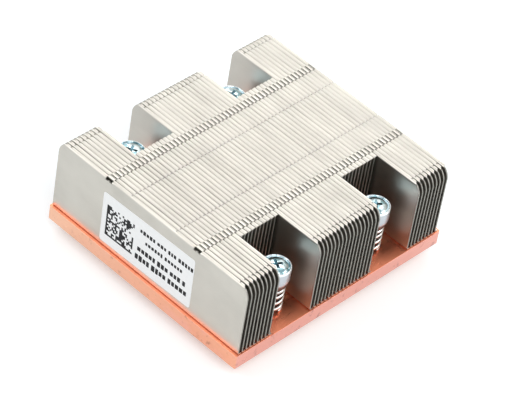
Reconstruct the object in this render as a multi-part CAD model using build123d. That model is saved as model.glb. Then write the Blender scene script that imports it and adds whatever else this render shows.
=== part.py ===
from build123d import *
import math
import os

# Passive heatsink for a server processor, in millimetres with +Z up.
# X runs along the fins, the way the air blows, and Y across the stack of fins.
# The origin is the middle of the contact pad's face, which sits on the processor.

# Base plate of copper, which reaches past the screws along X and past the stack along Y
base_margin = 10.7
base_lip = 0.95
base_thickness = 5.8
base_corner_radius = 0.6

# Contact pad on the underside, which keeps clear of the clips round it
pad_clip_gap = 5.3
pad_width = 54.0
pad_height = 1.0

# Fins, each folded from one thin sheet with a flange at its top and its foot
fin_count = 55
fin_pitch = 1.8
fin_sheet = 0.4
fin_height = 29.6
fin_end_inset = 0.5
fin_flange_gap = 0.3
fin_corner_run = 2.0
fin_corner_drop = 3.0

# Wells round the screws, where the fins are cut short of the screws' axes
well_width = 18.0
well_end_distance = 9.95

# Interlock, two rows of tabs that each reach through a window in the next fin's fold
lock_end_distance = 4.1
lock_window_width = 3.4
lock_window_reach = 1.0
lock_tab_width = 1.6
lock_tab_reach = 0.5

# Captive screws, turned, with a cross recess in the head and a waist above the thread
screw_spacing_x = 70.6
screw_spacing_y = 48.6
head_radius = 5.3
head_length = 8.8
waist_radius = 1.5
thread_radius = 1.75
thread_reach = 5.0
recess_span = 4.6
recess_foot_span = 2.2
recess_slot_width = 1.0
recess_depth = 2.4

# Retaining clips, which sit on the waist between the thread and the base plate
clip_thickness = 0.6
clip_radius = 3.0
clip_mouth_width = 2.2
clip_bore_clearance = 0.05
screw_hole_clearance = 0.3

# Springs round the screws, between the base plate and the heads
spring_length = 10.7
spring_wire = 1.0
spring_inset = 1.1
spring_end_clearance = 0.2
spring_open_turns = 3.0
spring_closed_turns = 0.667
spring_sides_per_turn = 9

# Sticker on the first fin, left without print
label_length = 43.9
label_height = 21.5
label_thickness = 0.1
label_shift = 0.35
label_rise = 13.25
label_tilt_deg = 1.3

# One overrun serves every cut
overrun = 0.5

flange_reach = fin_pitch - fin_flange_gap
stack_width = (fin_count - 1) * fin_pitch + flange_reach
base_length = screw_spacing_x + 2 * base_margin
base_width = stack_width + 2 * base_lip
pad_length = screw_spacing_x - 2 * (clip_radius + pad_clip_gap)
fin_length = base_length - 2 * fin_end_inset
short_fin_length = screw_spacing_x - 2 * well_end_distance
lock_spacing = short_fin_length - 2 * lock_end_distance

base_top = pad_height + base_thickness
fin_top = base_top + fin_height
head_seat = base_top + spring_length
head_top = head_seat + head_length


def base_plate(places):
    # Copper slab with its contact pad and a clearance hole for each screw
    slab = Pos(Z=pad_height + base_thickness / 2) * Box(base_length, base_width, base_thickness)
    slab = fillet(slab.edges().filter_by(Axis.Z), base_corner_radius)
    slab += Pos(Z=pad_height / 2) * Box(pad_length, pad_width, pad_height)
    hole = Cylinder(thread_radius + screw_hole_clearance, base_thickness + 2 * overrun)
    for x, y in places:
        slab -= Pos(x, y, pad_height + base_thickness / 2) * hole
    return slab


def folded_fin(length):
    # One sheet folded to a channel, with its web's outer face on Y = 0
    section = Polyline(
        (0, base_top),
        (flange_reach, base_top),
        (flange_reach, base_top + fin_sheet),
        (fin_sheet, base_top + fin_sheet),
        (fin_sheet, fin_top - fin_sheet),
        (flange_reach, fin_top - fin_sheet),
        (flange_reach, fin_top),
        (0, fin_top),
        close=True,
    )
    fin = extrude(Plane.YZ * make_face(section), length / 2, both=True)
    for x in (-lock_spacing / 2, lock_spacing / 2):
        fin -= Pos(X=x) * lock_window()
    return fin


def lock_window():
    # Opening through the fold, as deep as the tab of the fin before is thick
    cut = Box(lock_window_width, lock_window_reach + overrun, fin_sheet + overrun)
    return Pos(0, (lock_window_reach - overrun) / 2, fin_top + (overrun - fin_sheet) / 2) * cut


def with_lock_tabs(fin):
    # Tongues on the top flange's free edge, which lie on the next web's edge
    reach = fin_flange_gap + lock_tab_reach
    tongue = Box(lock_tab_width, reach, fin_sheet)
    for x in (-lock_spacing / 2, lock_spacing / 2):
        fin += Pos(x, flange_reach + reach / 2, fin_top - fin_sheet / 2) * tongue
    return fin


def without_corners(fin):
    # Sloping cuts take off a full fin's two top corners, right through its flange
    corner = Polyline(
        (fin_length / 2 - fin_corner_run, fin_top),
        (fin_length / 2, fin_top - fin_corner_drop),
        (fin_length / 2 + overrun, fin_top - fin_corner_drop),
        (fin_length / 2 + overrun, fin_top + overrun),
        (fin_length / 2 - fin_corner_run, fin_top + overrun),
        close=True,
    )
    cut = extrude(Plane.XZ * make_face(corner), fin_pitch, both=True)
    return fin - cut - mirror(cut, Plane.YZ)


def captive_screw():
    # Turned from the thread's tip, past the waist, to the flat of the head
    tip = pad_height - thread_reach
    shoulder = pad_height - clip_thickness
    profile = Polyline(
        (0, tip),
        (thread_radius, tip),
        (thread_radius, shoulder),
        (waist_radius, shoulder),
        (waist_radius, head_seat),
        (head_radius, head_seat),
        (head_radius, head_top),
        (0, head_top),
        close=True,
    )
    slot = recess_slot()
    return revolve(Plane.XZ * make_face(profile), Axis.Z) - slot - Rot(Z=90) * slot


def recess_slot():
    # One of the two crossing slots, whose ends slope in towards the foot
    outline = Polyline(
        (-recess_foot_span / 2, head_top - recess_depth),
        (recess_foot_span / 2, head_top - recess_depth),
        (recess_span / 2, head_top),
        (recess_span / 2, head_top + overrun),
        (-recess_span / 2, head_top + overrun),
        (-recess_span / 2, head_top),
        close=True,
    )
    return extrude(Plane.XZ * make_face(outline), recess_slot_width / 2, both=True)


def retaining_clip():
    # Flat open clip that grips the waist on the flats of its bore, its mouth towards +X
    bore = RegularPolygon(waist_radius + clip_bore_clearance, 6, major_radius=False)
    mouth = Rectangle(clip_radius + overrun, clip_mouth_width, align=(Align.MIN, Align.CENTER))
    outline = Circle(clip_radius) - bore - mouth
    return extrude(Pos(Z=pad_height - clip_thickness) * outline, clip_thickness)


def coil_spring():
    # Wire wound round Z in straight runs with mitred joints, its end turns closed
    radius = head_radius - spring_inset - spring_wire / 2
    turns = spring_open_turns + 2 * spring_closed_turns
    foot = base_top + spring_end_clearance + spring_wire / 2
    points = []
    for step in range(round(turns * spring_sides_per_turn) + 1):
        turned = step / spring_sides_per_turn
        angle = 2 * math.pi * turned
        points.append((radius * math.cos(angle), radius * math.sin(angle), foot + wire_rise(turned)))
    path = Polyline(*points)
    start = Plane(origin=path @ 0, x_dir=(0, 0, 1), z_dir=path % 0)
    return sweep(start * Rectangle(spring_wire, spring_wire), path=path, transition=Transition.RIGHT)


def wire_rise(turned):
    # How far the wire's middle has risen: a wire's width a turn where the coil is closed
    total = spring_length - 2 * spring_end_clearance - spring_wire
    closed_rise = spring_closed_turns * spring_wire
    open_pitch = (total - 2 * closed_rise) / spring_open_turns
    lower = min(turned, spring_closed_turns)
    middle = min(max(turned - spring_closed_turns, 0), spring_open_turns)
    upper = max(turned - spring_closed_turns - spring_open_turns, 0)
    return (lower + upper) * spring_wire + middle * open_pitch


def blank_label():
    # Thin sticker on the outer face of the first fin's web
    sheet = Rot(Y=-label_tilt_deg) * Box(label_length, label_thickness, label_height)
    return Pos(-label_shift, -(stack_width + label_thickness) / 2, base_top + label_rise) * sheet


def fin_place(number):
    # Where a fin's web starts along Y
    return (number - 1) * fin_pitch - stack_width / 2


def stands_over_screw(number):
    # Fins that would stand over a screw are cut short, which leaves the wells
    middle = fin_place(number) + flange_reach / 2
    return abs(abs(middle) - screw_spacing_y / 2) < well_width / 2


def fin_nodes():
    # Full fins are a node each, and the short fins share a node two by two
    last = without_corners(folded_fin(fin_length))
    full = with_lock_tabs(last)
    short = with_lock_tabs(folded_fin(short_fin_length))
    nodes = {}
    short_numbers = []
    for number in range(1, fin_count + 1):
        if stands_over_screw(number):
            short_numbers.append(number)
        else:
            nodes[f"fin_{number:02d}"] = Pos(Y=fin_place(number)) * (full if number < fin_count else last)
    for first in range(0, len(short_numbers), 2):
        pair = short_numbers[first:first + 2]
        name = "_".join(["short_fins"] + [f"{number:02d}" for number in pair])
        nodes[name] = Compound(children=[Pos(Y=fin_place(number)) * short for number in pair])
    return nodes


def screw_places():
    # Screws 1 and 2 stand nearer the label, 1 and 3 on the -X side
    places = []
    for y in (-screw_spacing_y / 2, screw_spacing_y / 2):
        for x in (-screw_spacing_x / 2, screw_spacing_x / 2):
            places.append((x, y))
    return places


def main():
    places = screw_places()
    nodes = {"base_plate": base_plate(places), "label": blank_label()}
    nodes.update(fin_nodes())
    screw = captive_screw()
    clip = retaining_clip()
    spring = coil_spring()
    for number, (x, y) in enumerate(places, 1):
        nodes[f"captive_screw_{number}"] = Pos(x, y) * screw
        nodes[f"retaining_clip_{number}"] = Pos(x, y) * clip
        nodes[f"screw_spring_{number}"] = Pos(x, y) * spring
    os.makedirs("parts", exist_ok=True)
    for name, shape in nodes.items():
        export_step(shape, f"parts/{name}.step")


main()
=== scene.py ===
import math
import random

import bmesh
import bpy
from bpy.props import FloatProperty, FloatVectorProperty, IntProperty, PointerProperty
from mathutils import Matrix, Vector


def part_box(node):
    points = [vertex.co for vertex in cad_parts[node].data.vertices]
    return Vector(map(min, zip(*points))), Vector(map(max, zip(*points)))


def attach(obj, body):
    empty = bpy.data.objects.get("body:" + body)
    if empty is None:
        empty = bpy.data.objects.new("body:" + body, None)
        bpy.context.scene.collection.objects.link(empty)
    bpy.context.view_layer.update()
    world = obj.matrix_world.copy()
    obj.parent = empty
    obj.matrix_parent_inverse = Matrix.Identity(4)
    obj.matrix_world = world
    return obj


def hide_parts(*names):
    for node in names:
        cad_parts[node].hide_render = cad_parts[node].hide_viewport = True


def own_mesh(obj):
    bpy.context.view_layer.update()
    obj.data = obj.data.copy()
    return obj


bl_info = {
    "name": "Folded Fin Heatsink",
    "version": (1, 0, 0),
    "blender": (4, 5, 0),
    "location": "3D View > Sidebar > Heatsink",
    "description": "Dresses the packed model of a passive processor heatsink with its visible pieces",
    "category": "Object",
}

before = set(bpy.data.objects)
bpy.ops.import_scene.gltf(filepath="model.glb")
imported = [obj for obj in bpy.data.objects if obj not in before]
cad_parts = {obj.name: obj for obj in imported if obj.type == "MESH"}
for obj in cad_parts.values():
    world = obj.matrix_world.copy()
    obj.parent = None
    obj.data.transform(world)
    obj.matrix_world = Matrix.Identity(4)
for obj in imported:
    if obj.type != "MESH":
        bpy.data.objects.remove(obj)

# Sizes are in metres, and MM writes them in millimetres
MM = 0.001

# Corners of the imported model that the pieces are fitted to
BASE_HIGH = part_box("base_plate")[1]
FIN_LOW, FIN_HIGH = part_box("fin_01")
NEXT_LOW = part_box("fin_02")[0]
END_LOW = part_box("fin_55")[0]
SHORT_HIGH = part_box("short_fins_10_11")[1]
LABEL_LOW, LABEL_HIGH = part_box("label")
BASE_TOP = BASE_HIGH.z
FIN_TOP = FIN_HIGH.z
SCREW_TIP, SCREW_TOP = (corner.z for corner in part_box("captive_screw_1"))
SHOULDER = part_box("retaining_clip_1")[0].z
SCREW_NUMBERS = (1, 2, 3, 4)

# Fins nearer a screw's axis than half of this, across the stack, are short
WELL_WIDTH = 18 * MM

# Rows of a fin's sheet: angles round the top fold, and shares of the flange and of the tongues
FOLD_ANGLES = (0, 22.5, 45, 67.5, 90)
FLANGE_SHARES = (0.6, 0.8, 1.0)
TONGUE_SHARES = (0.35, 0.72, 1.0)

# Rows stand close together over this depth below a full fin's top, where its corners slope
CLOSE_DEPTH = 5 * MM

# Extra columns of a fin's sheet: places along every fin and along the full ones, which let them wave,
# and distances back from a full fin's ends, where its flange is cut back
MIDDLE_COLUMNS = (14 * MM, 16.5 * MM)
OUTER_COLUMNS = (28 * MM, 32 * MM, 36 * MM, 39 * MM)
END_COLUMNS = (0.15 * MM, 0.4 * MM, 0.8 * MM, 1.4 * MM)

# How far the flange is cut back at its slits and ends, the run of each cut, and what stays past the fold
INNER_CUT = 0.12 * MM
OUTER_CUT = 0.35 * MM
END_CUT = 0.6 * MM
CUT_RUN = 0.4 * MM
LEAST_FLANGE = 0.12 * MM

# Dip of the flange beside each window, and how far a column may lie from the window's edge and be on it
DIP_RUN = 1.6 * MM
DIP_DEPTH = 0.17 * MM
HAIR = 0.01 * MM

# Rounding of a full fin's sloping corners, at their lower and upper bends
LOWER_SOFT = 1.5 * MM
UPPER_SOFT = 0.9 * MM
UPPER_CUT = 0.25 * MM

# The columns of a full fin are drawn in to its sloping corners from this far inside the outer slits
SQUEEZE_RUN = 3 * MM

# Thread of the screws: its depth, the runs over which it fades in and out, and the tip's broken edge
THREAD_DEPTH = 0.34 * MM
THREAD_START = 0.5 * MM
THREAD_END = 0.8 * MM
TIP_CUT = 0.3 * MM
TIP_RUN = 0.5 * MM

# Gap at both ends of a spring, and the broken edges of the clips
SPRING_GAP = 0.02 * MM
CLIP_EDGE = 0.08 * MM

# Sticker: its thickness and its ink's, the size and place of its cells, and the corners of its bars
STICKER = 0.08 * MM
INK = 0.015 * MM
CELL = 0.74 * MM
CELL_MARGIN = 2.2 * MM
CELL_DROP = 6.6 * MM
BAR_CORNER = 0.2 * MM
LEAST_CORNER = 0.02 * MM

# Depth of the finest relief on a finish
FINE = 0.02 * MM


def screw_place(number):
    """Axis of a screw, read from its node."""
    low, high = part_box(f"captive_screw_{number}")
    middle = (low + high) / 2
    return Vector((middle.x, middle.y, 0))


# Settings that a user would change


def length(name, description, value):
    """Property that holds a length."""
    return FloatProperty(name=name, description=description, default=value, unit="LENGTH", precision=5)


def small_angle(name, description, value):
    """Property that holds an angle."""
    return FloatProperty(name=name, description=description, default=value, subtype="ANGLE")


def lamp_power(name, description, value):
    """Property that holds the power of a lamp."""
    return FloatProperty(name=name, description=description, default=value, unit="POWER")


def colour(name, description, value):
    """Property that holds a colour."""
    return FloatVectorProperty(
        name=name, description=description, default=value, subtype="COLOR", size=3, min=0, max=1
    )


class FinSettings(bpy.types.PropertyGroup):
    """Folded fins"""

    sheet: length("Sheet", "Thickness of the aluminium sheet", 0.5 * MM)
    fold: length("Fold radius", "Outer radius of the folds at the top and foot", 0.8 * MM)
    pitch: length("Pitch", "Distance from one fin to the next", NEXT_LOW.y - FIN_LOW.y)
    outer_reach: length("Outer reach", "Reach of the flange between its slits and the windows", 1.28 * MM)
    middle_reach: length("Middle reach", "Reach of the flange between its two inner slits", 1.25 * MM)
    end_reach: length("End reach", "Reach of the small end tab past the outer slit", 1.12 * MM)
    slit: length("Slit", "Width of the slits across the top flange", 0.34 * MM)
    inner_slit: length("Inner slit", "Distance of the inner slits from the middle", 10.7 * MM)
    outer_slit: length("Outer slit", "Distance of the outer slits from the middle", 41.06 * MM)
    lock: length("Lock", "Distance of the locking windows from the middle", 21.25 * MM)
    window: length("Window", "Width of a locking window", 3.1 * MM)
    window_reach: length("Window reach", "How far a locking window reaches along the flange", 0.88 * MM)
    foot_reach: length("Foot reach", "Reach of the flange at the foot", 1.5 * MM)
    window_drop: length("Window drop", "Depth of a locking window down the web", 1.1 * MM)
    tongue: length("Tongue", "Width of a locking tongue", 2.86 * MM)
    prong: length("Prong", "Width of a tongue's middle prong", 0.7 * MM)
    notch: length("Notch", "Width of the notches beside a tongue's middle prong", 0.4 * MM)
    tongue_reach: length("Tongue reach", "How far a tongue reaches past the flange", 1.3 * MM)
    tongue_drop: length("Tongue drop", "How far a tongue slopes down to its tip", 0.18 * MM)
    corner_run: length("Corner run", "Length of the sloping corner along the fin", 2.0 * MM)
    corner_drop: length("Corner drop", "Height of the sloping corner", 3.0 * MM)
    end_inset: length("End inset", "How far the top flange's ends stand back from the web's", 0.5 * MM)
    waviness: length("Waviness", "How far the thin sheets stray from straight", 0.07 * MM)
    lean: small_angle("Lean", "Most that a fin leans", 0.0012)
    seed: IntProperty(name="Seed", description="Seed of the fins' small differences", default=7)
    tint: colour("Aluminium", "Colour of the bare aluminium sheet", (0.535, 0.51, 0.465))
    sheared: colour("Sheared edge and tongue shade", "Colour of the sheet's sheared edges and of the painted shade on the tongues", (0.33, 0.32, 0.29))


class BaseSettings(bpy.types.PropertyGroup):
    """Copper base plate"""

    edge: length("Edge", "Width of the broken edges of the copper slab", 0.3 * MM)
    orange: colour("Orange copper", "Colour of the clean copper", (0.84, 0.40, 0.262))
    pink: colour("Pink copper", "Colour of the duller copper", (0.82, 0.405, 0.308))
    end_sides: colour("End sides", "Colour of the sides across the fins", (0.80, 0.385, 0.32))
    top: colour("Top", "Colour of the top face under the fins", (0.92, 0.31, 0.18))
    paler_end: colour("Paler copper", "Colour that the copper blends to towards -X", (0.82, 0.475, 0.33))


class ScrewSettings(bpy.types.PropertyGroup):
    """Captive screws"""

    head: length("Head radius", "Radius of the head at its rim", 5.3 * MM)
    seat: length("Seat radius", "Radius of the head where the spring bears on it", 4.55 * MM)
    crown: length("Crown radius", "Radius of the domed crown inside the rim", 4.4 * MM)
    straight: length("Straight height", "Height of the head down to where it tapers", 5.8 * MM)
    waist: length("Waist radius", "Radius of the waist", 1.5 * MM)
    thread: length("Thread radius", "Outer radius of the thread", 1.75 * MM)
    thread_pitch: length("Thread pitch", "Distance from one thread to the next", 0.794 * MM)
    head_height: length("Head height", "Height of the head", 8.8 * MM)
    recess: length("Recess", "Span of the cross recess", 4.6 * MM)
    recess_depth: length("Recess depth", "Depth of the cross recess", 2.4 * MM)
    tint: colour("Zinc", "Colour of the zinc plating on the crown", (0.70, 0.82, 0.87))
    side: colour("Zinc side", "Colour of the zinc plating down the side", (0.57, 0.60, 0.64))
    dark_reflection: colour("Painted dark reflection", "Colour of the painted dark reflections in the plating", (0.24, 0.39, 0.43))


class SpringSettings(bpy.types.PropertyGroup):
    """Coil springs"""

    radius: length("Radius", "Radius of the coil at the middle of its wire", 4.0 * MM)
    wire: length("Wire", "Thickness of the wire", 1.0 * MM)
    open_turns: FloatProperty(name="Open turns", description="Turns between the closed ends", default=3.0)
    closed_turns: FloatProperty(name="Closed turns", description="Turns closed at each end", default=0.7)
    tint: colour("Spring steel", "Colour of the spring wire", (0.86, 0.85, 0.83))


class LabelSettings(bpy.types.PropertyGroup):
    """Sticker"""

    width: length("Width", "Width of the sticker", 43.9 * MM)
    height: length("Height", "Height of the sticker", 21.5 * MM)
    corner: length("Corner", "Radius of the sticker's corners", 1.0 * MM)
    tilt: small_angle("Tilt", "How far the sticker sits askew", math.radians(1.3))
    cells: IntProperty(name="Cells", description="Cells along a side of the printed block", default=18)
    seed: IntProperty(name="Seed", description="Seed of the printed block", default=11)
    paper: colour("Paper", "Colour of the sticker", (0.98, 0.985, 0.99))
    ink: colour("Ink", "Colour of the print", (0.004, 0.004, 0.005))


class StudioSettings(bpy.types.PropertyGroup):
    """Floor, room and lights"""

    key: lamp_power("Key light", "Power of the key light", 4.3)
    fill: lamp_power("Fill light", "Power of the small fill light", 3.4)
    side: lamp_power("Side light", "Power of the light from behind the right", 4.0)
    top: lamp_power("Top light", "Power of the broad light that the top faces mirror", 5.05)
    world: FloatProperty(name="Room light", description="Strength of the room's own light", default=0.5)
    floor: FloatProperty(name="Floor white", description="Share of plain white in the floor", default=0.31)


SETTINGS = {
    "heatsink_fins": FinSettings,
    "heatsink_base": BaseSettings,
    "heatsink_screws": ScrewSettings,
    "heatsink_springs": SpringSettings,
    "heatsink_label": LabelSettings,
    "heatsink_studio": StudioSettings,
}


# Node helpers


def feed(tree, node, inputs):
    """Links or sets a node's inputs."""
    for name, value in inputs.items():
        if isinstance(value, bpy.types.NodeSocket):
            tree.links.new(value, node.inputs[name])
        else:
            node.inputs[name].default_value = value


def add(tree, kind, inputs=None, **options):
    """New node with its options, and its inputs linked or set."""
    node = tree.nodes.new(kind)
    for option, value in options.items():
        setattr(node, option, value)
    feed(tree, node, inputs or {})
    return node


def result(tree, kind, inputs=None, **options):
    """First output of a new node."""
    return add(tree, kind, inputs, **options).outputs[0]


def maths(tree, operation, *values):
    """Output of a math node."""
    return result(tree, "ShaderNodeMath", dict(enumerate(values)), operation=operation)


def mapped(tree, value, start, end, low=0.0, high=1.0):
    """A value's range from start to end mapped to low and high, and held there past its ends."""
    inputs = {"Value": value, "From Min": start, "From Max": end, "To Min": low, "To Max": high}
    return result(tree, "ShaderNodeMapRange", inputs)


def vector(tree, **parts):
    """Vector put together from its X, Y and Z."""
    return result(tree, "ShaderNodeCombineXYZ", parts)


def parts_of(tree, whole):
    """Outputs with the X, Y and Z of a vector."""
    return add(tree, "ShaderNodeSeparateXYZ", {0: whole}).outputs


def geometry_tree(name, **sockets):
    """New geometry tree with its named inputs, given by kind, and the outputs of its input node."""
    tree = bpy.data.node_groups.new(name, "GeometryNodeTree")
    for kind, labels in sockets.items():
        for label in labels:
            tree.interface.new_socket(name=label, in_out="INPUT", socket_type=f"NodeSocket{kind}")
    tree.interface.new_socket(name="Geometry", in_out="OUTPUT", socket_type="NodeSocketGeometry")
    return tree, tree.nodes.new("NodeGroupInput").outputs


def grown(obj, tree, values):
    """Plain mesh that a geometry tree makes from an object, with its inputs set by their identifiers."""
    modifier = obj.modifiers.new(tree.name, "NODES")
    modifier.node_group = tree
    for item in tree.interface.items_tree:
        if item.in_out == "INPUT" and item.name in values:
            modifier[item.identifier] = values[item.name]
    settle(obj)


# Mesh helpers


def settle(obj):
    """Turns an object's modifiers into its plain mesh."""
    graph = bpy.context.evaluated_depsgraph_get()
    graph.update()
    mesh = bpy.data.meshes.new_from_object(obj.evaluated_get(graph), depsgraph=graph)
    mesh.name = obj.name
    obj.modifiers.clear()
    obj.data = mesh


def piece(name, mesh, *finishes):
    """New object in the scene with its materials."""
    mesh.name = name
    obj = bpy.data.objects.new(name, mesh)
    for finish in finishes:
        mesh.materials.append(finish)
    bpy.context.scene.collection.objects.link(obj)
    return obj


def smooth(mesh, sharp=35):
    """Makes a mesh smooth but for its edges sharper than an angle in degrees."""
    mesh.polygons.foreach_set("use_smooth", [True] * len(mesh.polygons))
    mesh.set_sharp_from_angle(angle=math.radians(sharp))


def mesh_of(shape, sharp=35):
    """Smooth mesh of a bmesh."""
    mesh = bpy.data.meshes.new("shape")
    shape.to_mesh(mesh)
    shape.free()
    smooth(mesh, sharp)
    return mesh


def seat(obj, body, slot, *nodes):
    """The piece moves with its body and stands for its nodes; the slot is not used."""
    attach(obj, body)
    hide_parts(*nodes)


# Finishes


def finish_tree(name):
    """New material with its node tree, its shader and its object coordinates."""
    material = bpy.data.materials.new(name)
    material.use_nodes = True
    tree = material.node_tree
    shader = tree.nodes["Principled BSDF"]
    place = add(tree, "ShaderNodeTexCoord").outputs["Object"]
    return material, tree, shader, place


def grain(tree, place, stretch, detail=3.0, roughness=0.55):
    """Noise stretched along the axes of the piece."""
    scaled = result(tree, "ShaderNodeMapping", {"Vector": place, "Scale": stretch})
    inputs = {"Vector": scaled, "Scale": 1.0, "Detail": detail, "Roughness": roughness}
    return result(tree, "ShaderNodeTexNoise", inputs)


def spread(tree, noise, low, high):
    """A noise's middle range mapped to low and high."""
    return mapped(tree, noise, 0.3, 0.7, low, high)


def beyond(tree, value, edge, soft):
    """Mask that rises from 0 to 1 round a value."""
    return mapped(tree, value, edge - soft, edge + soft)


def shaded(tint, factor=1.0):
    """Opaque colour, made darker or lighter by a factor."""
    return (*(min(1.0, part * factor) for part in tint), 1)


def ramp(tree, value, *stops):
    """Colour ramp with its stops as (place, colour)."""
    node = add(tree, "ShaderNodeValToRGB", {"Fac": value})
    elements = node.color_ramp.elements
    while len(elements) < len(stops):
        elements.new(0.5)
    for element, (place, tint) in zip(elements, stops):
        element.position = place
        element.color = tint
    return node.outputs["Color"]


def blend(tree, factor, first, second, kind="MIX"):
    """Two colours mixed or multiplied by a factor."""
    # The node's sockets for colours are its inputs 6 and 7 and its output 2
    inputs = {0: factor, 6: first, 7: second}
    return add(tree, "ShaderNodeMix", inputs, data_type="RGBA", blend_type=kind).outputs[2]


def relief(tree, height, strength, depth=FINE):
    """Fine relief of a finish, for its shader's normal."""
    return result(tree, "ShaderNodeBump", {"Height": height, "Strength": strength, "Distance": depth})


def aluminium_finish(settings):
    """Rolled aluminium sheet: fine grain along the fins, faint warm and cool clouds."""
    material, tree, shader, place = finish_tree("Rolled aluminium sheet")
    clouds = grain(tree, place, (45, 160, 60))
    lines = grain(tree, place, (60, 1500, 1500), 4.0, 0.7)
    dark, plain, light = (shaded(settings.tint, factor) for factor in (0.90, 1.0, 1.07))
    looks = {
        "Base Color": ramp(tree, clouds, (0.3, dark), (0.5, plain), (0.7, light)),
        "Roughness": spread(tree, lines, 0.29, 0.41),
        "Metallic": 1.0,
        "Normal": relief(tree, lines, 0.12),
    }
    feed(tree, shader, looks)
    return material


def edge_and_tongue_shade_finish(settings):
    """Dull sheared edge of the sheet with fine burrs, also put on the locking tongues as painted shade."""
    material, tree, shader, place = finish_tree("Sheared edge and painted tongue shade")
    burrs = grain(tree, place, (900, 900, 900))
    dark, light = shaded(settings.sheared, 0.8), shaded(settings.sheared, 1.15)
    looks = {
        "Base Color": ramp(tree, burrs, (0.35, dark), (0.65, light)),
        "Roughness": spread(tree, burrs, 0.42, 0.55),
        "Metallic": 1.0,
    }
    feed(tree, shader, looks)
    return material


def copper_finish(settings):
    """Bare copper: orange and pink clouds, paler towards -X, pinker on the sides across the fins, milling
    lines and stains.
    """
    material, tree, shader, place = finish_tree("Bare copper")
    clouds = grain(tree, place, (70, 70, 90), 4.0)
    lines = grain(tree, place, (1800, 90, 900), 3.0, 0.7)
    stains = grain(tree, place, (260, 260, 260), 5.0, 0.65)
    pink, dull, orange = shaded(settings.pink), shaded(settings.orange, 0.97), shaded(settings.orange)
    tint = ramp(tree, clouds, (0.34, pink), (0.5, dull), (0.66, orange))
    stain = ramp(tree, stains, (0.30, (0.62, 0.58, 0.60, 1)), (0.42, (1, 1, 1, 1)))
    parts = parts_of(tree, place)
    minus_x = maths(tree, "MULTIPLY", parts["X"], -1.0)
    from_middle = maths(tree, "ABSOLUTE", parts["X"])
    fade_middle, fade_run = 8 * MM, 33 * MM
    side_skin, side_soft = 0.1 * MM, 0.08 * MM
    top_skin, top_soft = 0.05 * MM, 0.04 * MM
    masks = (
        # Paler towards -X
        (beyond(tree, minus_x, fade_middle, fade_run), settings.paler_end),
        # Pinker on the two sides across the fins
        (beyond(tree, from_middle, BASE_HIGH.x - side_skin, side_soft), settings.end_sides),
        (beyond(tree, parts["Z"], BASE_TOP - top_skin, top_soft), settings.top),
    )
    for mask, other in masks:
        tint = blend(tree, mask, tint, shaded(other))
    looks = {
        "Base Color": blend(tree, 1.0, tint, stain, "MULTIPLY"),
        "Roughness": spread(tree, lines, 0.26, 0.42),
        "Metallic": 1.0,
        "Normal": relief(tree, lines, 0.18, 1.5 * FINE),
    }
    feed(tree, shader, looks)
    return material


def off_axis(tree, parts):
    """Distance of a place from the axis of the screw in its quarter."""
    axis = screw_place(4)
    squares = []
    for part, middle in ((parts["X"], axis.x), (parts["Y"], axis.y)):
        off = maths(tree, "SUBTRACT", maths(tree, "ABSOLUTE", part), middle)
        squares.append(maths(tree, "MULTIPLY", off, off))
    return maths(tree, "SQRT", maths(tree, "ADD", *squares))


def zinc_finish(settings):
    """Blue zinc plating: pale on the crown, grey down the side, a painted highlight on the rim, painted shade
    from the taper down and painted dark reflections in teal patches.
    """
    material, tree, shader, place = finish_tree("Zinc plating")
    patches = grain(tree, place, (420, 420, 260))
    parts = parts_of(tree, place)
    height, soft = parts["Z"], 0.1 * MM
    rim_inset, crown_depth, rim_highlight_depth, shade_depth = 0.5 * MM, 3.2 * MM, 1.2 * MM, 6.3 * MM
    rim = beyond(tree, off_axis(tree, parts), settings.crown + rim_inset, soft)
    inside = maths(tree, "SUBTRACT", 1.0, rim)
    crown = maths(tree, "MULTIPLY", beyond(tree, height, SCREW_TOP - crown_depth, soft), inside)
    # Painted highlight: the top of the rim gets the side's colour lifted 1.6 times
    painted_rim_highlight = maths(tree, "MULTIPLY", rim, beyond(tree, height, SCREW_TOP - rim_highlight_depth, 2 * soft))
    side = blend(tree, painted_rim_highlight, shaded(settings.side), shaded(settings.side, 1.6))
    plain = blend(tree, crown, side, shaded(settings.tint))
    # Painted dark reflections: teal patches on the crown and patches at 0.75 of the side's colour down the
    # side
    dark = blend(tree, crown, shaded(settings.side, 0.75), shaded(settings.dark_reflection))
    # Painted shade: from shade_depth below the top down, over the taper, the waist and the thread, the colour
    # drops to 0.22 and 0.12 of the side's
    above = beyond(tree, height, SCREW_TOP - shade_depth, 5 * soft)
    plain = blend(tree, above, shaded(settings.side, 0.22), plain)
    dark = blend(tree, above, shaded(settings.side, 0.12), dark)
    # The rim and the high noise stay clear of the painted dark reflections
    clear = maths(tree, "MAXIMUM", beyond(tree, patches, 0.48, 0.05), rim)
    haze = spread(tree, grain(tree, place, (900, 900, 900)), 0.14, 0.26)
    looks = {
        "Base Color": blend(tree, clear, dark, plain),
        "Roughness": maths(tree, "MULTIPLY_ADD", crown, -0.12, maths(tree, "ADD", haze, 0.12)),
        "Metallic": maths(tree, "MULTIPLY_ADD", crown, 0.15, 0.85),
    }
    feed(tree, shader, looks)
    return material


def steel_finish(name, tint):
    """Drawn or stamped steel: fine scratches and small dull spots."""
    material, tree, shader, place = finish_tree(name)
    spots = grain(tree, place, (700, 700, 700), 4.0)
    looks = {
        "Base Color": ramp(tree, spots, (0.34, shaded(tint, 0.7)), (0.5, shaded(tint))),
        "Roughness": spread(tree, spots, 0.34, 0.2),
        "Metallic": 1.0,
        "Normal": relief(tree, spots, 0.1),
    }
    feed(tree, shader, looks)
    return material


def paper_finish(settings):
    """Matt coated paper."""
    material, tree, shader, place = finish_tree("Label paper")
    fibres = grain(tree, place, (900, 900, 1400), 5.0, 0.7)
    looks = {
        "Base Color": ramp(tree, fibres, (0.3, shaded(settings.paper, 0.97)), (0.7, shaded(settings.paper))),
        "Roughness": spread(tree, fibres, 0.5, 0.62),
        "Normal": relief(tree, fibres, 0.1),
    }
    feed(tree, shader, looks)
    return material


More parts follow.
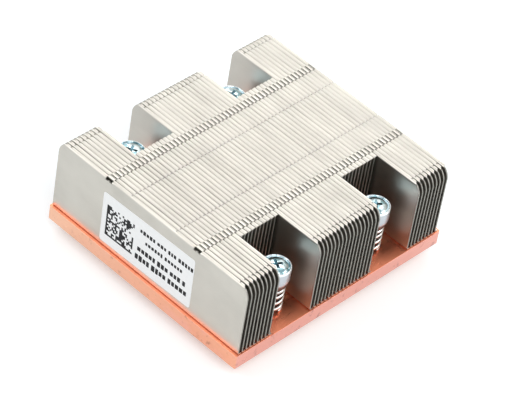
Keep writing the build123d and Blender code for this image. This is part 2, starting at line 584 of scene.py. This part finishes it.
def ink_finish(settings):
    """Thermal print, slightly uneven."""
    material, tree, shader, place = finish_tree("Label ink")
    wear = grain(tree, place, (1500, 1500, 1500))
    looks = {
        "Base Color": ramp(tree, wear, (0.4, shaded(settings.ink)), (0.8, (0.05, 0.05, 0.055, 1))),
        "Roughness": spread(tree, wear, 0.45, 0.6),
        "Specular IOR Level": 0.15,
    }
    feed(tree, shader, looks)
    return material


# Fins


def slit_places(fins, has_corner):
    """Distances of a fin's slits from its middle."""
    return (fins.inner_slit, fins.outer_slit) if has_corner else (fins.inner_slit,)


def fin_marks(fins, half, has_corner):
    """Columns of a fin's sheet along X, from the middle to one end."""
    slit, prong, notch = fins.slit / 2, fins.prong / 2, fins.notch
    window, tongue = fins.window / 2, fins.tongue / 2
    marks = [0, 0.35 * fins.inner_slit, 0.7 * fins.inner_slit, *MIDDLE_COLUMNS, fins.lock, half]
    for place in slit_places(fins, has_corner):
        for share in (0, 0.4, 1):
            marks += [place + side * (slit + share * CUT_RUN) for side in (-1, 1)]
    for off in (window + DIP_RUN, window + DIP_RUN / 2, window, tongue, prong, prong + notch):
        marks += [fins.lock - off, fins.lock + off]
    if has_corner:
        marks += OUTER_COLUMNS
        marks += [half - inset for inset in END_COLUMNS]
    return sorted(set(marks))


def fin_rows(fins, has_corner):
    """Rows of a fin's sheet from the foot's free edge, up the web and over to the top flange."""
    rows = [("foot", 1.0), ("foot", 0.5)]
    rows += [("foot bend", angle) for angle in (90, 60, 30, 0)]
    low = BASE_TOP + fins.fold
    levels = [low + share * (FIN_TOP - CLOSE_DEPTH - low) for share in (0.25, 0.5, 0.75, 1)]
    if has_corner:
        levels += [FIN_TOP - down * MM for down in (4.5, 4.1, 3.7, 3.3, 2.9, 2.5, 2.1, 1.7, 1.3)]
    levels.append(FIN_TOP - fins.window_drop)
    rows += [("web", level) for level in levels]
    rows += [("bend", angle) for angle in FOLD_ANGLES]
    rows += [("flange", share) for share in FLANGE_SHARES]
    rows += [("tongue", share) for share in TONGUE_SHARES]
    return rows


def corner_end(fins, half, height):
    """Half length of a full fin at a height, down its sloping corner with both bends rounded."""
    down = FIN_TOP - height
    straight = half - fins.corner_run + down * fins.corner_run / fins.corner_drop
    straight -= UPPER_CUT * max(0, 1 - down / UPPER_SOFT) ** 2
    if down >= fins.corner_drop + LOWER_SOFT:
        return half
    if down <= fins.corner_drop - LOWER_SOFT:
        return straight
    share = (down - fins.corner_drop + LOWER_SOFT) / (2 * LOWER_SOFT)
    slope = fins.corner_run / fins.corner_drop
    start = half - LOWER_SOFT * slope
    return start + slope * 2 * LOWER_SOFT * (share - share * share / 2)


def flange_reach(fins, x, half, has_corner):
    """Reach of the top flange at a place along the fin, cut back at its slits and ends."""
    x = abs(x)
    if x < fins.inner_slit:
        reach = fins.middle_reach
    elif has_corner and x > fins.outer_slit:
        reach = fins.end_reach
    else:
        reach = fins.outer_reach
    slits = [(fins.inner_slit, INNER_CUT)]
    if has_corner:
        slits += [(fins.outer_slit, OUTER_CUT), (half + fins.slit / 2, END_CUT)]
    for place, cut in slits:
        gap = abs(x - place) - fins.slit / 2
        if gap < CUT_RUN:
            reach -= cut * (1 - gap / CUT_RUN) ** 2
    return max(reach, fins.fold + LEAST_FLANGE)


def fin_shape(fins, half, has_corner, has_tongues):
    """Outer skin of one folded fin, with its web on Y = 0."""
    top_half = half - fins.corner_run if has_corner else half
    marks = fin_marks(fins, top_half, has_corner)
    columns = sorted({-mark for mark in marks} | set(marks))
    rows = fin_rows(fins, has_corner)
    slits = slit_places(fins, has_corner)
    squeeze = fins.outer_slit - SQUEEZE_RUN
    window_bottom = rows.index(("web", FIN_TOP - fins.window_drop))
    prong_bottom = rows.index(("bend", FOLD_ANGLES[0]))
    slit_bottom = rows.index(("bend", FOLD_ANGLES[3]))
    window_top = rows.index(("flange", FLANGE_SHARES[0]))
    tongue_start = rows.index(("flange", FLANGE_SHARES[-1]))
    notch_start = rows.index(("tongue", TONGUE_SHARES[1]))
    shape = bmesh.new()
    points = {}

    def place(column, row):
        x = columns[column]
        kind, value = rows[row]
        reach = flange_reach(fins, x, top_half, has_corner)
        turn = math.radians(value) if "bend" in kind else 0
        y = fins.fold * (1 - math.cos(turn))
        z = FIN_TOP
        if kind == "foot":
            y, z = fins.fold + (fins.foot_reach - fins.fold) * value, BASE_TOP
        elif kind == "foot bend":
            z = BASE_TOP + fins.fold * (1 - math.sin(turn))
        elif kind == "web":
            z = value
        elif kind == "bend":
            z = FIN_TOP - fins.fold * (1 - math.sin(turn))
        elif kind == "flange":
            y = fins.fold + (reach - fins.fold) * value
            if row == window_top:
                y = min(y, fins.window_reach)
        else:
            y, z = reach + value * fins.tongue_reach, FIN_TOP - value * fins.tongue_drop
        if kind == "flange" or (kind == "bend" and value >= FOLD_ANGLES[2]):
            for lock in (-fins.lock, fins.lock):
                past = x - lock - fins.window / 2
                if -HAIR < past < DIP_RUN:
                    z -= DIP_DEPTH * (1 - past / DIP_RUN)
        if has_corner and abs(x) > squeeze:
            share = turn / (math.pi / 2) if kind == "bend" else float(kind in ("flange", "tongue"))
            end = corner_end(fins, half, z) - share * fins.end_inset
            x = math.copysign(squeeze + (abs(x) - squeeze) * (end - squeeze) / (top_half - squeeze), x)
        return x, y, z

    def is_open(column, row):
        x = abs(columns[column] + columns[column + 1]) / 2
        off = abs(x - fins.lock)
        if row >= tongue_start:
            in_notch = row >= notch_start and 0 < off - fins.prong / 2 < fins.notch
            return not has_tongues or off > fins.tongue / 2 or in_notch
        if row >= slit_bottom and any(abs(x - slit) < fins.slit / 2 for slit in slits):
            return True
        if off < fins.window / 2 and row < window_top:
            return row >= (prong_bottom if off < fins.prong / 2 else window_bottom)
        return False

    def corner(column, row):
        if (column, row) not in points:
            points[column, row] = shape.verts.new(place(column, row))
        return points[column, row]

    for column in range(len(columns) - 1):
        for row in range(len(rows) - 1):
            if not is_open(column, row):
                cell = ((column, row), (column + 1, row), (column + 1, row + 1), (column, row + 1))
                face = shape.faces.new([corner(*at) for at in cell])
                # The tongues take the dark edge finish as painted shade over the crimp rows
                face.material_index = int(row > tongue_start)
    return mesh_of(shape, 180)


def folded_fin(name, fins, half, has_corner, has_tongues, *finishes):
    """Object with one folded fin, its sheet thickened inwards from the outer skin to sheared edges."""
    obj = piece(name, fin_shape(fins, half, has_corner, has_tongues), *finishes)
    wall = obj.modifiers.new("Sheet", "SOLIDIFY")
    wall.thickness = fins.sheet
    wall.offset = -1
    wall.use_even_offset = True
    wall.material_offset_rim = 1
    settle(obj)
    smooth(obj.data)
    return obj


def fin_row_tree():
    """Row of like fins, some left out, each a little different, and their thin sheets slightly wavy."""
    tree, given = geometry_tree(
        "Fin row",
        Geometry=("Fin",),
        Int=("Count", "Seed"),
        Float=(
            "Pitch",
            "First Place",
            "Screw Distance",
            "Well Width",
            "Flange Reach",
            "Foot Height",
            "Top Height",
            "Waviness",
            "Lean",
        ),
        Bool=("Short Fins",),
        Material=("Finish", "Edge And Tongue Shade Finish"),
    )
    start, step = vector(tree, Y=given["First Place"]), vector(tree, Y=given["Pitch"])
    inputs = {"Count": given["Count"], "Start Location": start, "Offset": step}
    line = result(tree, "GeometryNodeMeshLine", inputs)
    position = result(tree, "GeometryNodeInputPosition")
    place = parts_of(tree, position)
    middle = maths(tree, "MULTIPLY_ADD", given["Flange Reach"], 0.5, place["Y"])
    off = maths(tree, "SUBTRACT", maths(tree, "ABSOLUTE", middle), given["Screw Distance"])
    half_well = maths(tree, "MULTIPLY", given["Well Width"], 0.5)
    in_well = maths(tree, "LESS_THAN", maths(tree, "ABSOLUTE", off), half_well)
    inputs = {0: in_well, 1: given["Short Fins"]}
    left_out = result(tree, "FunctionNodeBooleanMath", inputs, operation="XOR")
    kept = result(tree, "GeometryNodeDeleteGeometry", {"Geometry": line, "Selection": left_out})

    most = vector(tree, X=given["Lean"], Z=maths(tree, "MULTIPLY", given["Lean"], 0.3))
    least = result(tree, "ShaderNodeVectorMath", {0: most, "Scale": -1.0}, operation="SCALE")
    inputs = {"Min": least, "Max": most, "Seed": given["Seed"]}
    lean = result(tree, "FunctionNodeRandomValue", inputs, data_type="FLOAT_VECTOR")
    inputs = {"Points": kept, "Instance": given["Fin"], "Rotation": lean}
    fins = result(tree, "GeometryNodeInstanceOnPoints", inputs)
    whole = result(tree, "GeometryNodeRealizeInstances", {"Geometry": fins})

    inputs = {0: position, 1: (70, 520, 50)}
    waved = result(tree, "ShaderNodeVectorMath", inputs, operation="MULTIPLY")
    inputs = {"Vector": waved, "Scale": 1.0, "Detail": 1.0}
    noise = parts_of(tree, add(tree, "ShaderNodeTexNoise", inputs).outputs["Color"])
    height = mapped(tree, place["Z"], given["Foot Height"], given["Top Height"])
    amount = maths(tree, "MULTIPLY", height, given["Waviness"])
    strayed = maths(tree, "SUBTRACT", noise["Y"], 0.5)
    aside = maths(tree, "MULTIPLY", strayed, maths(tree, "MULTIPLY", amount, 3.0))
    down = maths(tree, "MULTIPLY", noise["Z"], maths(tree, "MULTIPLY", amount, -1.0))
    inputs = {"Geometry": whole, "Offset": vector(tree, Y=aside, Z=down)}
    moved = result(tree, "GeometryNodeSetPosition", inputs)

    # Material index 1 marks the sheared edges and the tongues, whose dark finish there is painted shade
    edge = result(tree, "GeometryNodeInputMaterialIndex")
    sheet = result(tree, "FunctionNodeBooleanMath", {0: edge}, operation="NOT")
    for selection, finish in ((edge, "Edge And Tongue Shade Finish"), (sheet, "Finish")):
        inputs = {"Geometry": moved, "Selection": selection, "Material": given[finish]}
        moved = result(tree, "GeometryNodeSetMaterial", inputs)
    add(tree, "NodeGroupOutput", {0: moved})
    return tree


def banks_of(numbers):
    """Runs of neighbouring numbers."""
    banks = []
    for number in numbers:
        if not banks or number != banks[-1][-1] + 1:
            banks.append([])
        banks[-1].append(number)
    return banks


# Springs, base plate and clips


def spring_tree():
    """Round wire wound round Z, its end turns closed."""
    tree, given = geometry_tree(
        "Coil spring",
        Geometry=("Geometry",),
        Vector=("Place",),
        Float=("Radius", "Wire", "Foot", "Length", "Open Turns", "Closed Turns"),
        Int=("Steps",),
        Material=("Finish",),
    )
    wire, closed, opened = given["Wire"], given["Closed Turns"], given["Open Turns"]
    line = result(tree, "GeometryNodeCurvePrimitiveLine")
    inputs = {"Curve": line, "Count": given["Steps"]}
    path = result(tree, "GeometryNodeResampleCurve", inputs, mode="COUNT")
    share = result(tree, "GeometryNodeSplineParameter")
    turned = maths(tree, "MULTIPLY", share, maths(tree, "MULTIPLY_ADD", closed, 2.0, opened))
    angle = maths(tree, "MULTIPLY", turned, math.tau)

    closed_rise = maths(tree, "MULTIPLY", closed, wire)
    free = maths(tree, "SUBTRACT", given["Length"], wire)
    open_rise = maths(tree, "SUBTRACT", free, maths(tree, "MULTIPLY", closed_rise, 2.0))
    pitch = maths(tree, "DIVIDE", open_rise, opened)
    lower = maths(tree, "MINIMUM", turned, closed)
    past = maths(tree, "MAXIMUM", maths(tree, "SUBTRACT", turned, closed), 0.0)
    middle = maths(tree, "MINIMUM", past, opened)
    upper = maths(tree, "MAXIMUM", maths(tree, "SUBTRACT", past, opened), 0.0)
    open_part = maths(tree, "MULTIPLY", middle, pitch)
    rise = maths(tree, "MULTIPLY_ADD", maths(tree, "ADD", lower, upper), wire, open_part)

    x = maths(tree, "MULTIPLY", maths(tree, "COSINE", angle), given["Radius"])
    y = maths(tree, "MULTIPLY", maths(tree, "SINE", angle), given["Radius"])
    z = maths(tree, "ADD", maths(tree, "MULTIPLY_ADD", wire, 0.5, given["Foot"]), rise)
    inputs = {0: vector(tree, X=x, Y=y, Z=z), 1: given["Place"]}
    placed = result(tree, "ShaderNodeVectorMath", inputs, operation="ADD")
    wound = result(tree, "GeometryNodeSetPosition", {"Geometry": path, "Position": placed})
    inputs = {"Resolution": 12, "Radius": maths(tree, "MULTIPLY", wire, 0.5)}
    ring = result(tree, "GeometryNodeCurvePrimitiveCircle", inputs)
    inputs = {"Curve": wound, "Profile Curve": ring, "Fill Caps": True}
    tube = result(tree, "GeometryNodeCurveToMesh", inputs)
    whole = result(tree, "GeometryNodeRealizeInstances", {"Geometry": tube})
    inputs = {"Geometry": whole, "Material": given["Finish"]}
    add(tree, "NodeGroupOutput", {0: result(tree, "GeometryNodeSetMaterial", inputs)})
    return tree


def softened_copy(node, name, width, finish):
    """Merged copy of a node with its edges broken."""
    shape = bmesh.new()
    shape.from_mesh(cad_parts[node].data)
    bmesh.ops.remove_doubles(shape, verts=shape.verts, dist=0.001 * MM)
    bmesh.ops.dissolve_limit(shape, angle_limit=math.radians(1), verts=shape.verts, edges=shape.edges)
    obj = piece(name, mesh_of(shape), finish)
    edge = obj.modifiers.new("Edges", "BEVEL")
    edge.width = width
    edge.segments = 3
    edge.limit_method = "ANGLE"
    edge.angle_limit = math.radians(40)
    settle(obj)
    smooth(obj.data)
    return obj


# Screws


def screw_profile(screws):
    """Radii and heights of a screw from the middle of its crown down to its shoulder."""
    taper, seat_height = SCREW_TOP - screws.straight, SCREW_TOP - screws.head_height
    # Millimetres out from the middle, or in from the rim, and down from the top
    crown = ((0, 0), (1.2, 0), (2.3, 0.03), (3.1, 0.13), (3.7, 0.32), (4.05, 0.55), (4.3, 0.85), (4.4, 1.0))
    rim = ((0.75, 1.02), (0.64, 0.85), (0.56, 0.62), (0.38, 0.5), (0.18, 0.53), (0.05, 0.66), (0, 0.9))
    rows = [(screws.crown * reach / crown[-1][0], SCREW_TOP - down * MM) for reach, down in crown]
    rows += [(screws.head - inset * MM, SCREW_TOP - down * MM) for inset, down in rim]
    # A radius and the millimetres out from it, then a height and the millimetres up from it
    lower = (
        (screws.head, 0, taper, 0.3),
        (screws.head, -0.05, taper, 0),
        (screws.seat, 0.08, seat_height, 0.4),
        (screws.seat, 0, seat_height, 0.15),
        (screws.seat, -0.2, seat_height, 0),
        (screws.waist, 0.3, seat_height, 0),
        (screws.waist, 0, seat_height, -0.3),
        (screws.waist, 0, (seat_height + SHOULDER) / 2, 0),
        (screws.waist, 0, SHOULDER, 0),
    )
    return rows + [(radius + out * MM, height + up * MM) for radius, out, height, up in lower]


def thread_cut(screws, turn, height):
    """How deep the surface lies under the thread's outer radius at a place."""
    above, below = SHOULDER - height, height - SCREW_TIP
    wave = (height / screws.thread_pitch + turn) % 1
    fade = min(1, above / THREAD_START, below / THREAD_END + 0.05)
    cut = THREAD_DEPTH * (1 - abs(2 * wave - 1)) * max(fade, 0)
    end = TIP_CUT * max(0, 1 - below / TIP_RUN)
    return max(cut, end)


def screw_shape(screws):
    """Turned screw round Z: a domed crown inside a raised rim, a tapered head, a waist and a thread."""
    columns = 64
    rows = screw_profile(screws)
    plain = len(rows)
    fall = SCREW_TIP - SHOULDER
    steps = 6 * round(-fall / screws.thread_pitch)
    rows += [(screws.thread, SHOULDER + fall * step / steps) for step in range(steps + 1)]
    rows.append((0.0, SCREW_TIP))
    shape = bmesh.new()
    rings = []
    for number, (radius, height) in enumerate(rows):
        if radius == 0:
            rings.append([shape.verts.new((0, 0, height))])
            continue
        ring = []
        for column in range(columns):
            turn = column / columns
            angle = math.tau * turn
            reach = radius - thread_cut(screws, turn, height) if number >= plain else radius
            ring.append(shape.verts.new((reach * math.cos(angle), reach * math.sin(angle), height)))
        rings.append(ring)
    for upper, lower in zip(rings, rings[1:]):
        for column in range(columns):
            after = (column + 1) % columns
            places = ((upper, column), (lower, column), (lower, after), (upper, after))
            corners = list(dict.fromkeys(ring[at % len(ring)] for ring, at in places))
            if len(corners) > 2:
                shape.faces.new(corners)
    bmesh.ops.recalc_face_normals(shape, faces=shape.faces)
    return mesh_of(shape, 50)


def recess_shape(screws):
    """Cutter for the cross recess: two crossing wedges that narrow towards the foot."""
    shape = bmesh.new()
    # Height above the crown, share of the recess's span, and width
    levels = (
        (-screws.recess_depth, 0.45, 0.7 * MM),
        (-0.6 * MM, 0.86, 0.95 * MM),
        (1.0 * MM, 1.12, 1.25 * MM),
    )
    for turn in (0, math.pi / 2):
        spin = Matrix.Rotation(turn, 3, "Z")
        rings = []
        for up, share, width in levels:
            along, across = screws.recess * share / 2, width / 2
            corners = ((-along, -across), (along, -across), (along, across), (-along, across))
            rings.append([shape.verts.new(spin @ Vector((x, y, SCREW_TOP + up))) for x, y in corners])
        shape.faces.new(rings[0][::-1])
        shape.faces.new(rings[-1])
        for lower, upper in zip(rings, rings[1:]):
            for side in range(4):
                after = (side + 1) % 4
                shape.faces.new([lower[side], lower[after], upper[after], upper[side]])
    return mesh_of(shape)


# Sticker


def rounded_outline(width, height, radius, steps=6):
    """Corners of a rounded rectangle round the origin."""
    outline = []
    for quarter, (sx, sz) in enumerate(((1, 1), (-1, 1), (-1, -1), (1, -1))):
        x, z = sx * (width / 2 - radius), sz * (height / 2 - radius)
        for step in range(steps + 1):
            angle = math.pi / 2 * (quarter + step / steps)
            outline.append((x + radius * math.cos(angle), z + radius * math.sin(angle)))
    return outline


def add_slab(shape, outline, front, back, finish):
    """Closed slab between two places along Y."""
    near = [shape.verts.new((x, front, z)) for x, z in outline]
    far = [shape.verts.new((x, back, z)) for x, z in outline]
    faces = [shape.faces.new(near), shape.faces.new(far[::-1])]
    for side in range(len(outline)):
        after = (side + 1) % len(outline)
        faces.append(shape.faces.new([near[after], near[side], far[side], far[after]]))
    for face in faces:
        face.material_index = finish


def label_shape(label):
    """Sticker with a block of random cells and lines of plain bars."""
    chance = random.Random(label.seed)
    shape = bmesh.new()
    add_slab(shape, rounded_outline(label.width, label.height, label.corner), -STICKER, 0, 0)

    def bar(x, z, width, height, radius=0.0):
        outline = rounded_outline(width, height, max(radius, LEAST_CORNER), 2 if radius else 1)
        add_slab(shape, [(x + dx, z + dz) for dx, dz in outline], -STICKER - INK, -STICKER * 0.5, 1)

    left, low = -label.width / 2 + CELL_MARGIN, -CELL_DROP
    for row in range(label.cells):
        run = 0
        for column in range(label.cells + 1):
            edge = column == 0 or row == 0
            filled = column < label.cells and (edge or chance.random() < 0.48)
            if filled:
                run += 1
            elif run:
                bar(left + (column - run / 2) * CELL, low + row * CELL, run * CELL, CELL * 1.02)
                run = 0

    # Height of each line, height of its bars, and where it starts and ends, all in millimetres
    lines = ((5.9, 1.7, -3.7, 20.6), (2.1, 1.7, -0.8, 17.1), (-2.3, 2.3, -4.2, 19.0), (-6.0, 2.5, -4.9, 18.9))
    for height, tall, start, end in lines:
        x = start
        count = chance.randint(3, 6)
        while x < end:
            wide = chance.uniform(0.5, 0.72) * tall
            bar_height = tall * chance.choice((1.0, 0.9, 0.75))
            bar((x + wide / 2) * MM, height * MM, wide * MM, bar_height * MM, BAR_CORNER)
            count -= 1
            x += wide + (0.4 if count else 1.1)
            count = count or chance.randint(3, 6)
    bmesh.ops.recalc_face_normals(shape, faces=shape.faces)
    return mesh_of(shape)


# Studio


def seen_rays(tree):
    """One for the rays of the camera, metal and glass, and zero for the rest."""
    ray = add(tree, "ShaderNodeLightPath").outputs
    seen = maths(tree, "MAXIMUM", ray["Is Camera Ray"], ray["Is Glossy Ray"])
    return maths(tree, "MAXIMUM", seen, ray["Is Transmission Ray"])


def floor_finish(studio):
    """White floor that keeps the object's soft shadow."""
    material, tree, shader, place = finish_tree("Studio floor")
    tree.nodes.remove(shader)
    paper = grain(tree, place, (40, 40, 40))
    tint = ramp(tree, paper, (0.3, (0.79, 0.835, 0.855, 1)), (0.7, (0.81, 0.85, 0.865, 1)))
    matt = result(tree, "ShaderNodeBsdfDiffuse", {"Color": tint})
    strength = maths(tree, "MULTIPLY", seen_rays(tree), studio.floor)
    glow = result(tree, "ShaderNodeEmission", {"Strength": strength})
    both = result(tree, "ShaderNodeAddShader", {0: matt, 1: glow})
    feed(tree, tree.nodes["Material Output"], {"Surface": both})
    return material


def set_room(context, studio):
    """Even white room that the camera, metal and glass see as plain white."""
    world = bpy.data.worlds.new("Studio room")
    world.use_nodes = True
    tree = world.node_tree
    tree.nodes.clear()
    strength = mapped(tree, seen_rays(tree), 0.0, 1.0, studio.world)
    room = result(tree, "ShaderNodeBackground", {"Color": (1, 1, 1, 1), "Strength": strength})
    add(tree, "ShaderNodeOutputWorld", {"Surface": room})
    context.scene.world = world


def area_light(name, place, size, energy, tint):
    """Square soft light that faces the middle of the object."""
    lamp = bpy.data.lights.new(name, "AREA")
    lamp.shape = "SQUARE"
    lamp.size = size
    lamp.energy = energy
    lamp.color = tint
    obj = bpy.data.objects.new(name, lamp)
    obj.location = place
    middle = Vector((0, 0, 15 * MM))
    obj.rotation_euler = (middle - Vector(place)).to_track_quat("-Z", "Y").to_euler()
    bpy.context.scene.collection.objects.link(obj)


def set_camera(context):
    """Camera at the photograph's viewing angle."""
    azimuth, elevation, roll = math.radians(38.22), math.radians(42.11), math.radians(10.08)
    aim, distance = Vector((0.85, 1.17, 13.0)), 1073.67
    photo_width, focal_pixels, sensor_width = 506, 3116.41, 36
    level = math.cos(elevation)
    back = Vector((math.sin(azimuth) * level, -math.cos(azimuth) * level, math.sin(elevation)))
    right = (-back).cross(Vector((0, 0, 1))).normalized()
    up = right.cross(-back)
    tilted_right = math.cos(roll) * right + math.sin(roll) * up
    tilted_up = math.cos(roll) * up - math.sin(roll) * right
    place = aim * MM + back * distance * MM
    lens = bpy.data.cameras.new("Camera")
    lens.sensor_width = sensor_width
    lens.lens = focal_pixels * sensor_width / photo_width
    lens.clip_start = 0.01
    lens.shift_x, lens.shift_y = 0.4 / photo_width, 0.7 / photo_width
    camera = bpy.data.objects.new("Camera", lens)
    turned = Matrix((tilted_right, tilted_up, back)).transposed().to_4x4()
    camera.matrix_world = Matrix.Translation(place) @ turned
    context.scene.collection.objects.link(camera)
    context.scene.camera = camera


# Operators, one for the stage and one for each piece or group of like pieces


class HEATSINK_OT_studio(bpy.types.Operator):
    """Set up the floor, the lights and the camera"""

    bl_idname = "heatsink.studio"
    bl_label = "Studio"

    def execute(self, context):
        studio = context.scene.heatsink_studio
        shape = bmesh.new()
        level = Matrix.Translation((0, 0, SCREW_TIP))
        bmesh.ops.create_grid(shape, x_segments=1, y_segments=1, size=3.0, matrix=level)
        floor = piece("studio_floor", mesh_of(shape), floor_finish(studio))
        set_room(context, studio)
        area_light("Key light", (0.55, -0.35, 0.95), 0.7, studio.key, (1.0, 0.985, 0.95))
        area_light("Fill light", (-0.60, -0.76, 0.87), 0.5, studio.fill, (0.97, 0.98, 1.0))
        area_light("Side light", (0.95, 0.60, 0.70), 0.5, studio.side, (1.0, 0.99, 0.97))
        area_light("Top light", (-0.69, 0.875, 1.0), 1.0, studio.top, (1.0, 0.99, 0.97))
        set_camera(context)
        context.scene.view_settings.view_transform = "Standard"
        return {"FINISHED"}


class HEATSINK_OT_base(bpy.types.Operator):
    """Make the copper base plate"""

    bl_idname = "heatsink.base"
    bl_label = "Base Plate"

    def execute(self, context):
        base = context.scene.heatsink_base
        plate = softened_copy("base_plate", "copper_base", base.edge, copper_finish(base))
        seat(plate, "heatsink", "base_copper", "base_plate")
        return {"FINISHED"}


class HEATSINK_OT_fins(bpy.types.Operator):
    """Make the full fins, the short fins between the wells and the last fin"""

    bl_idname = "heatsink.fins"
    bl_label = "Folded Fins"

    def execute(self, context):
        fins = context.scene.heatsink_fins
        finishes = (aluminium_finish(fins), edge_and_tongue_shade_finish(fins))
        tree = fin_row_tree()
        half, short_half = FIN_HIGH.x, SHORT_HIGH.x
        count = round((END_LOW.y - FIN_LOW.y) / fins.pitch) + 1
        numbers = [number for number in range(1, count + 1) if f"fin_{number:02d}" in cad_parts]
        pairs = sorted(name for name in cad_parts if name.startswith("short_fins"))
        values = {
            "Count": count - 1,
            "Pitch": fins.pitch,
            "First Place": FIN_LOW.y,
            "Screw Distance": screw_place(3).y,
            "Well Width": WELL_WIDTH,
            "Flange Reach": fins.foot_reach,
            "Short Fins": False,
            "Foot Height": BASE_TOP,
            "Top Height": FIN_TOP,
            "Waviness": fins.waviness,
            "Lean": fins.lean,
            "Finish": finishes[0],
            "Edge And Tongue Shade Finish": finishes[1],
        }
        for place, bank in enumerate(banks_of(numbers[:-1]), 1):
            nodes = [f"fin_{number:02d}" for number in bank]
            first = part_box(nodes[0])[0].y
            own = {"Count": len(bank), "First Place": first, "Seed": fins.seed + 10 * place}
            full = folded_fin(f"full_fins_{place}", fins, half, True, True, *finishes)
            grown(full, tree, {**values, **own})
            seat(full, "heatsink", "fin_aluminium", *nodes)
        short = folded_fin("well_fins", fins, short_half, False, True, *finishes)
        grown(short, tree, {**values, "Short Fins": True, "Seed": fins.seed + 1})
        seat(short, "heatsink", "fin_aluminium", *pairs)
        last = folded_fin("last_fin", fins, half, True, False, *finishes)
        grown(last, tree, {**values, "Count": 1, "First Place": END_LOW.y, "Seed": fins.seed + 2})
        seat(last, "heatsink", "fin_aluminium", f"fin_{numbers[-1]:02d}")
        return {"FINISHED"}


class HEATSINK_OT_label(bpy.types.Operator):
    """Make the sticker on the first fin"""

    bl_idname = "heatsink.label"
    bl_label = "Sticker"

    def execute(self, context):
        label = context.scene.heatsink_label
        middle = (LABEL_LOW + LABEL_HIGH) / 2
        sticker = piece("sticker", label_shape(label), paper_finish(label), ink_finish(label))
        place = Matrix.Translation((middle.x, LABEL_HIGH.y, middle.z))
        sticker.data.transform(place @ Matrix.Rotation(-label.tilt, 4, "Y"))
        seat(sticker, "heatsink", "label_film", "label")
        return {"FINISHED"}


class HEATSINK_OT_screws(bpy.types.Operator):
    """Make the four captive screws with their cross recesses"""

    bl_idname = "heatsink.screws"
    bl_label = "Captive Screws"

    def execute(self, context):
        screws = context.scene.heatsink_screws
        finish = zinc_finish(screws)
        cutter = piece("recess", recess_shape(screws))
        pattern = piece("screw", screw_shape(screws), finish)
        cut = pattern.modifiers.new("Recess", "BOOLEAN")
        cut.operation = "DIFFERENCE"
        cut.object = cutter
        cut.use_self = True
        settle(pattern)
        for number, turn in zip(SCREW_NUMBERS, (0.5, 1.1, 0.2, 0.8)):
            mesh = pattern.data.copy()
            mesh.transform(Matrix.Translation(screw_place(number)) @ Matrix.Rotation(turn, 4, "Z"))
            smooth(mesh, 50)
            screw = piece(f"turned_screw_{number}", mesh)
            seat(screw, f"screw_{number}", "screw_zinc", f"captive_screw_{number}")
        bpy.data.objects.remove(pattern)
        bpy.data.objects.remove(cutter)
        return {"FINISHED"}


class HEATSINK_OT_springs(bpy.types.Operator):
    """Make the four coil springs"""

    bl_idname = "heatsink.springs"
    bl_label = "Coil Springs"

    def execute(self, context):
        springs = context.scene.heatsink_springs
        screws = context.scene.heatsink_screws
        finish = steel_finish("Spring steel", springs.tint)
        tree = spring_tree()
        room = SCREW_TOP - screws.head_height - BASE_TOP
        values = {
            "Radius": springs.radius,
            "Wire": springs.wire,
            "Foot": BASE_TOP + SPRING_GAP,
            "Length": room - 2 * SPRING_GAP,
            "Open Turns": springs.open_turns,
            "Closed Turns": springs.closed_turns,
            "Steps": 120,
            "Finish": finish,
        }
        for number in SCREW_NUMBERS:
            spring = piece(f"wound_spring_{number}", bpy.data.meshes.new("wire"))
            grown(spring, tree, {**values, "Place": screw_place(number)})
            smooth(spring.data, 50)
            seat(spring, "heatsink", "spring_steel", f"screw_spring_{number}")
            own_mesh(spring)
        return {"FINISHED"}


class HEATSINK_OT_clips(bpy.types.Operator):
    """Make the four retaining clips under the base plate"""

    bl_idname = "heatsink.clips"
    bl_label = "Retaining Clips"

    def execute(self, context):
        finish = steel_finish("Clip steel", (0.55, 0.55, 0.54))
        for number in SCREW_NUMBERS:
            node = f"retaining_clip_{number}"
            clip = softened_copy(node, f"open_clip_{number}", CLIP_EDGE, finish)
            seat(clip, f"clip_{number}", "clip_steel", node)
        return {"FINISHED"}


OPERATORS = (
    HEATSINK_OT_studio,
    HEATSINK_OT_base,
    HEATSINK_OT_fins,
    HEATSINK_OT_label,
    HEATSINK_OT_screws,
    HEATSINK_OT_springs,
    HEATSINK_OT_clips,
)


class HEATSINK_PT_pieces(bpy.types.Panel):
    """Buttons for the heatsink's pieces and their settings"""

    bl_idname = "HEATSINK_PT_pieces"
    bl_label = "Heatsink"
    bl_space_type = "VIEW_3D"
    bl_region_type = "UI"
    bl_category = "Heatsink"

    def draw(self, context):
        for operator in OPERATORS:
            self.layout.operator(operator.bl_idname)
        for name, group in SETTINGS.items():
            box = self.layout.box()
            settings = getattr(context.scene, name)
            for field in group.__annotations__:
                box.prop(settings, field)


def register():
    """Adds the settings, the operators and the panel."""
    for name, group in SETTINGS.items():
        bpy.utils.register_class(group)
        setattr(bpy.types.Scene, name, PointerProperty(type=group))
    for operator in OPERATORS:
        bpy.utils.register_class(operator)
    bpy.utils.register_class(HEATSINK_PT_pieces)


def unregister():
    """Takes the panel, the operators and the settings away again."""
    bpy.utils.unregister_class(HEATSINK_PT_pieces)
    for operator in reversed(OPERATORS):
        bpy.utils.unregister_class(operator)
    for name, group in reversed(SETTINGS.items()):
        delattr(bpy.types.Scene, name)
        bpy.utils.unregister_class(group)


def main():
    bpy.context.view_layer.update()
    register()
    for operator in OPERATORS:
        group, name = operator.bl_idname.split(".")
        getattr(getattr(bpy.ops, group), name)()


if __name__ == "__main__":
    main()
